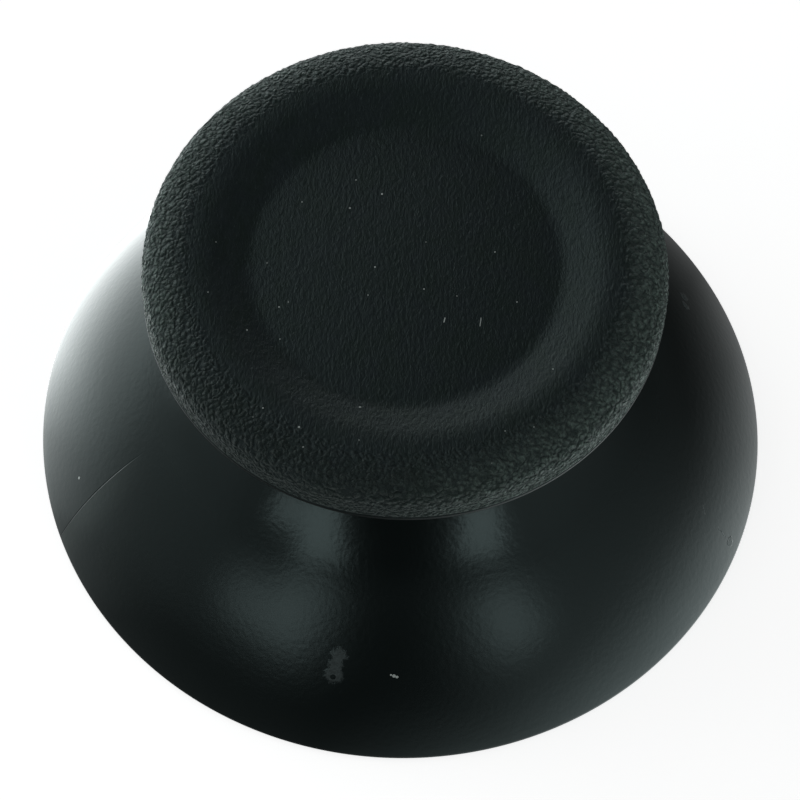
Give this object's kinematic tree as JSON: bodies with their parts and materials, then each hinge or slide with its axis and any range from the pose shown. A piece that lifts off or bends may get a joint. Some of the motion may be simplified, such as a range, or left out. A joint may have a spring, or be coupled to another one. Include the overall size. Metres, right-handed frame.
{
  "type": "thumbstick cap",
  "caption": "Mushroom-shaped thumbstick cap with a grained, dished grip pad on a flared hollow skirt that pushes onto a controller stick's shaft.",
  "frame": {"origin": "on the cap's axis, in the plane of the skirt's rim that it stands on", "axes": "+Z along the cap's axis, up through the grip pad; +X square to the socket's two flats"},
  "size_m": [0.0248, 0.0248, 0.0132],
  "materials": {
    "hard_plastic": "black injection-moulded plastic, semi-gloss with a faint orange-peel texture, a few scuffs and dust specks",
    "grip_rubber": "matte black soft-touch elastomer with a coarse leathery grain and light dust"
  },
  "bodies": {
    "root": {"stick_body": "hard_plastic", "grip_pad": "grip_rubber"}
  },
  "joints": []
}
